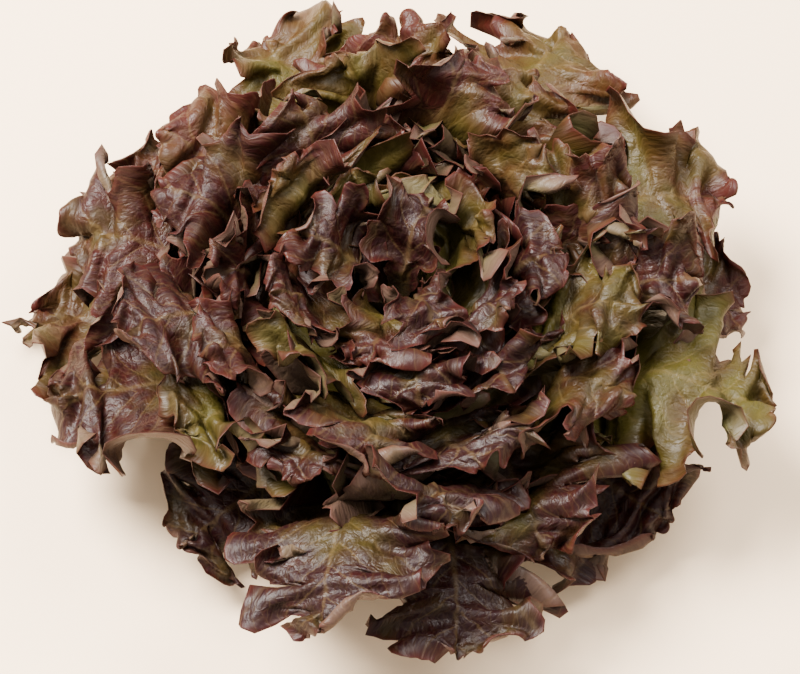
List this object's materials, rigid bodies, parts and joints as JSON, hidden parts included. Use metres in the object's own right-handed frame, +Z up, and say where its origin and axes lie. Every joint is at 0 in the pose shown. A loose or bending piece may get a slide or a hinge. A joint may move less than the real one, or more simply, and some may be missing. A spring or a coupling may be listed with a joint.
{
  "type": "oak leaf lettuce",
  "caption": "Whole head of red oak leaf lettuce: lobed, ruffled leaves in a spiral round a short cut stem, standing on the stem's flat cut face.",
  "frame": {"origin": "centre of the stem's flat cut face, on the surface that the head stands on", "axes": "+Z up along the stem, +X across the head's widest spread, -Y towards the side seen nearest in the picture"},
  "size_m": [0.3233, 0.3186, 0.1083],
  "materials": {
    "pale_stem": "moist pale green-white stem",
    "red_leaf": "moist burgundy leaf with a soft gloss",
    "olive_leaf": "moist olive-green leaf with a burgundy flush"
  },
  "bodies": {
    "root": {"stem": "pale_stem", "leaf_01": "red_leaf", "leaf_02": "red_leaf", "leaf_03": "olive_leaf", "leaf_04": "red_leaf", "leaf_05": "red_leaf", "leaf_06": "red_leaf", "leaf_07": "red_leaf", "leaf_08": "red_leaf", "leaf_09": "red_leaf", "leaf_10": "olive_leaf", "leaf_11": "red_leaf", "leaf_12": "red_leaf", "leaf_13": "red_leaf", "leaf_14": "red_leaf", "leaf_15": "red_leaf", "leaf_16": "red_leaf", "leaf_17": "olive_leaf", "leaf_18": "red_leaf", "leaf_19": "red_leaf", "leaf_20": "red_leaf", "leaf_21": "red_leaf", "leaf_22": "red_leaf", "leaf_23": "red_leaf", "leaf_24": "olive_leaf", "leaf_25": "red_leaf", "leaf_26": "red_leaf", "leaf_27": "red_leaf", "leaf_28": "red_leaf", "leaf_29": "red_leaf", "leaf_30": "red_leaf", "leaf_31": "olive_leaf", "leaf_32": "red_leaf", "leaf_33": "red_leaf", "leaf_34": "red_leaf", "leaf_35": "red_leaf", "leaf_36": "red_leaf", "leaf_37": "red_leaf", "leaf_38": "olive_leaf", "leaf_39": "red_leaf", "leaf_40": "red_leaf", "leaf_41": "red_leaf", "leaf_42": "red_leaf", "leaf_43": "red_leaf", "leaf_44": "red_leaf", "leaf_45": "olive_leaf", "leaf_46": "red_leaf", "leaf_47": "red_leaf", "leaf_48": "red_leaf", "leaf_49": "red_leaf", "leaf_50": "red_leaf"}
  },
  "joints": []
}
